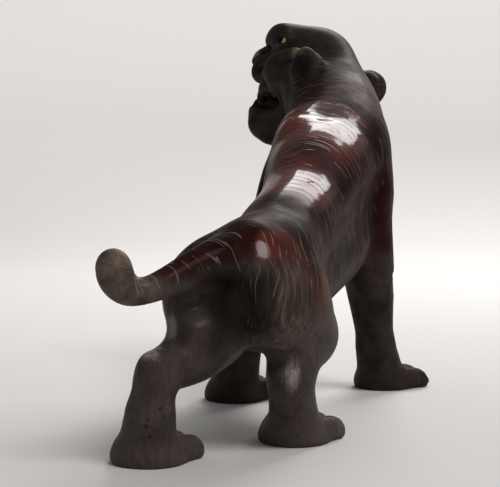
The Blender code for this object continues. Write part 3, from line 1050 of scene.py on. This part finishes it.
def bronze():
    n = Nodes("patinated_bronze")
    place = n.add("ShaderNodeTexCoord").outputs["Object"]
    place_mm = n.scaled(place, TO_MM)
    red, haunch, cleft = n.field("red"), n.field("haunch"), n.field("cleft")
    edge, hollow, paw = n.field("edge"), n.field("hollow"), n.field("paw")

    cloud = n.noise(place_mm, 0.050, 3.0, 0.5)
    blotch = n.noise(place_mm, 0.16, 3.0, 0.6)
    fine = n.noise(place_mm, 1.3, 3.0, 0.6)
    # Grain that hangs down the haunches and the shanks.
    grain = n.noise(n.scaled(place_mm, (1.0, 1.0, 0.10)), 0.85, 3.0, 0.65)
    hair = chased_hair(n, place_mm)

    dark = n.mix(n.band(blotch, 0.35, 0.7), *DARK)
    satin = n.mix(n.band(grain, 0.30, 0.70), *SATIN)
    body = n.mix(n.math("MAXIMUM", paw, n.band(blotch, 0.3, 0.6, 0.25, 0.75)), dark, satin)
    soot = n.mix(n.band(blotch, 0.30, 0.72), *SOOT)
    body = n.mix(n.times(n.field("sooty"), 0.8), body, soot)
    # Painted light and shade: the red is brighter where the gloss field lies on the up-facing back,
    # and darker elsewhere.
    red_lit_above = n.mix(n.band(cloud, 0.38, 0.62), *LIT_OXBLOOD)
    red_in_shade = n.mix(n.band(cloud, 0.38, 0.62), *SHADED_MAROON)
    red_lit_above = n.mix(n.math("MULTIPLY", n.field("gloss_and_lit_red"), 1.4, clamp=True), red_in_shade, red_lit_above)
    red_amount = n.math("MULTIPLY", red, n.band(blotch, 0.15, 0.6, 0.6, 1.0), clamp=True)
    colour = n.mix(red_amount, body, red_lit_above)
    # Painted orange glow of reflected light on the right haunch.
    haunch_glow = n.mix(n.band(blotch, 0.35, 0.65), *ORANGE_GLOW)
    colour = n.mix(n.times(n.field("haunch_glow"), 0.8), colour, haunch_glow)
    olive = n.mix(n.band(grain, 0.34, 0.64), *OLIVE)
    colour = n.mix(n.times(haunch, n.band(blotch, 0.25, 0.6, 0.35, 0.95)), colour, olive)
    # Painted shade in the cleft between the thighs.
    colour = n.mix(n.times(cleft, 0.8), colour, CLEFT_SHADE)
    buff = n.mix(n.band(blotch, 0.30, 0.65), *BUFF)
    colour = n.mix(n.times(n.field("tip"), 0.9), colour, buff)
    colour = n.mix(n.times(edge, 0.55), colour, EDGE)
    colour = n.mix(n.times(hollow, 0.6), colour, HOLLOW)
    colour = n.mix(n.times(hair, 0.75), colour, CHASED)
    colour = n.mix(n.times(n.field("seam"), 0.6), colour, SEAM)
    # Painted glints, streaked with the grain, on the hocks and the left thigh.
    glint_patches = n.times(n.field("glint_patches"), n.band(grain, 0.32, 0.58, 0.15, 0.9))
    colour = n.mix(glint_patches, colour, GLINT_TONE)
    # Painted highlight on the cheek fold and the ear's rim.
    colour = n.mix(n.times(n.field("pale"), 0.85), colour, RIM_HIGHLIGHT)
    rubbed = n.times(n.field("rubbed"), n.band(fine, 0.30, 0.62, 0.25, 1.0))
    colour = n.mix(rubbed, colour, RUBBED)
    colour = n.mix(n.times(n.field("nape"), 0.7), colour, NAPE)
    pit_cells = n.add("ShaderNodeTexVoronoi", {"Vector": place_mm, "Scale": 0.42})
    pits = n.band(pit_cells.outputs["Distance"], 0.14, 0.30, 1.0, 0.0)
    pits = n.times(pits, n.math("MAXIMUM", n.field("flaw"), n.band(blotch, 0.66, 0.72)))
    colour = n.mix(n.times(pits, 0.7), colour, PIT)
    n.put(n.shader.inputs["Base Color"], colour)

    metal = n.math("ADD", n.times(rubbed, 0.5), n.times(red, 0.06))
    n.put(n.shader.inputs["Metallic"], n.math("ADD", metal, 0.04))
    n.put(n.shader.inputs["Specular Tint"], n.mix(red, GREY_SHEEN, RED_SHEEN))
    n.shader.inputs["Specular IOR Level"].default_value = 0.02
    rough = n.band(blotch, 0.3, 0.7, 0.36, 0.48)
    rough = n.math("ADD", rough, n.times(n.math("SUBTRACT", 1.0, red), 0.06))
    rough = n.math("ADD", rough, n.times(hair, 0.12))
    n.put(n.shader.inputs["Roughness"], rough)
    # Old lacquer lies thick and glossy on the back, thin on the legs.
    thin = n.math("MULTIPLY", n.math("SUBTRACT", 1.0, red, clamp=True), 0.06)
    thin = n.times(thin, n.math("SUBTRACT", 1.0, n.times(n.field("sooty"), 0.7)))
    lacquer = n.math("ADD", n.times(n.field("gloss_and_lit_red"), 0.42), thin)
    lacquer = n.times(lacquer, n.band(fine, 0.25, 0.6, 0.85, 1.0))
    lacquer = n.math("SUBTRACT", lacquer, n.math("MULTIPLY", hair, 0.35), clamp=True)
    bare = n.math("MAXIMUM", n.field("nape"), cleft)
    lacquer = n.times(lacquer, n.math("SUBTRACT", 1.0, bare))
    n.put(n.shader.inputs["Coat Weight"], lacquer)
    n.shader.inputs["Coat Roughness"].default_value = 0.11
    n.shader.inputs["Coat IOR"].default_value = 1.55

    hammer = n.noise(place_mm, 0.16, 2.0)
    height = n.times(hair, -0.05)
    height = n.math("ADD", height, n.times(pits, -0.8))
    height = n.math("ADD", height, n.times(hammer, 0.12))
    height = n.math("ADD", height, n.times(grain, n.times(paw, 0.30)))
    height = n.math("ADD", height, n.times(fine, 0.004))
    height = n.math("ADD", height, n.times(n.field("seam"), 0.25))
    bump = n.add("ShaderNodeBump", {"Height": height, "Strength": 1.0, "Distance": MM})
    n.put(n.shader.inputs["Normal"], bump.outputs["Normal"])
    n.put(n.shader.inputs["Coat Normal"], bump.outputs["Normal"])
    return n.material


def gilt():
    n = Nodes("gilt_eye")
    place = n.add("ShaderNodeTexCoord").outputs["Object"]
    speck = n.noise(n.scaled(place, TO_MM), 1.2, 2.0)
    colour = n.mix(n.band(speck, 0.4, 0.65), *GILT)
    n.put(n.shader.inputs["Base Color"], colour)
    n.put(n.shader.inputs["Roughness"], n.band(speck, 0.3, 0.7, 0.22, 0.38))
    n.shader.inputs["Metallic"].default_value = 1.0
    return n.material


def eye(side, material):
    """A ball with a drilled pupil, set in its socket."""
    clay = Clay([np.arange(-5, 5.3, EYE_GRID)] * 3, reach=4.0)
    out = np.array((0.78, side * 0.62, 0.10))
    out /= np.linalg.norm(out)
    clay.mass((0, 0, 0), (EYE_RADIUS,) * 3, k=0.4)
    clay.mass(tuple(out * 2.7), (0.9, 0.9, 0.9), k=0.5, cut=True)
    points, quads = clay.skin()
    ahead, left, up = EYE_AT
    points = on_head(ahead, side * left, up) + points @ HEAD
    obj = mesh_object("eye_left" if side > 0 else "eye_right", points, quads)
    obj.data.materials.append(material)
    return obj


def stage():
    """A pale paper floor that sweeps up into a low backdrop."""
    floor_mesh = bpy.data.meshes.new("floor")
    bm = bmesh.new()
    profile = [(FLOOR_NEAR, 0.0), (SWEEP_START, 0.0)]
    for i in range(1, SWEEP_STEPS + 1):
        a = math.pi / 2 * i / SWEEP_STEPS
        rise = SWEEP_RADIUS - SWEEP_RADIUS * math.cos(a)
        profile.append((SWEEP_START - SWEEP_RADIUS * math.sin(a), rise))
    rows = [[bm.verts.new((x, y, z)) for x in (-FLOOR_HALF, FLOOR_HALF)] for y, z in profile]
    for near, far in zip(rows[:-1], rows[1:]):
        bm.faces.new((near[0], near[1], far[1], far[0]))
    bm.to_mesh(floor_mesh)
    bm.free()
    floor = bpy.data.objects.new("floor", floor_mesh)
    bpy.context.scene.collection.objects.link(floor)
    for polygon in floor_mesh.polygons:
        polygon.use_smooth = True
    n = Nodes("paper")
    n.shader.inputs["Base Color"].default_value = PAPER
    n.shader.inputs["Roughness"].default_value = 0.9
    n.shader.inputs["Specular IOR Level"].default_value = 0.2
    floor_mesh.materials.append(n.material)


def softbox(name, location, aim, size, power):
    data = bpy.data.lights.new(name, "AREA")
    data.shape = "RECTANGLE"
    data.size, data.size_y = size
    data.energy = power
    obj = bpy.data.objects.new(name, data)
    bpy.context.scene.collection.objects.link(obj)
    obj.location = location
    obj.rotation_euler = (Vector(aim) - Vector(location)).to_track_quat("-Z", "Y").to_euler()


def lighting():
    # The key hangs beyond the figure, so that its reflection lies along the back.
    softbox(
        "key", location=(-0.08, -0.68, 0.60), aim=(0, 0, 0.09), size=(0.56, 0.30), power=5.0
    )
    # A soft sun from behind the camera's right lights the floor evenly.
    data = bpy.data.lights.new("fill", "SUN")
    data.energy = 1.4
    data.angle = math.radians(26)
    fill = bpy.data.objects.new("fill", data)
    bpy.context.scene.collection.objects.link(fill)
    fill.rotation_euler = Vector((0.50, -0.35, -0.79)).to_track_quat("-Z", "Y").to_euler()
    # It lights the backdrop alone.
    softbox(
        "backdrop", location=(0, -0.85, 0.75), aim=(0, -1.85, 0.40), size=(2.6, 0.3), power=6.0
    )
    world = bpy.data.worlds.new("studio")
    world.use_nodes = True
    light = world.node_tree.nodes["Background"].inputs
    light["Color"].default_value = STUDIO
    light["Strength"].default_value = 0.26
    bpy.context.scene.world = world


def camera():
    """Behind the figure's right side, a little above its back, with a long lens."""
    data = bpy.data.cameras.new("camera")
    data.sensor_width = SENSOR_WIDTH
    data.lens = FOCAL_LENGTH * SENSOR_WIDTH
    data.clip_start = 0.01
    obj = bpy.data.objects.new("camera", data)
    bpy.context.scene.collection.objects.link(obj)
    x, y, z = CAMERA_AT
    obj.location = Vector((x - MIDDLE[0], y + MIDDLE[1], z)) * MM
    look = Vector((*CAMERA_HEADING, -math.tan(math.radians(CAMERA_DIP)))).normalized()
    obj.rotation_euler = look.to_track_quat("-Z", "Y").to_euler()
    bpy.context.scene.camera = obj


def main():
    points, quads = sculpt()
    tiger = mesh_object("tiger_surface", points, quads)
    thinned(tiger)
    paint(tiger)
    tiger.data.materials.append(bronze())
    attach(tiger, "root")
    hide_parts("tiger")
    gold = gilt()
    for side in (-1, 1):
        ball = eye(side, gold)
        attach(ball, "root")
    stage()
    lighting()
    camera()
    bpy.context.scene.view_settings.view_transform = "Standard"


main()
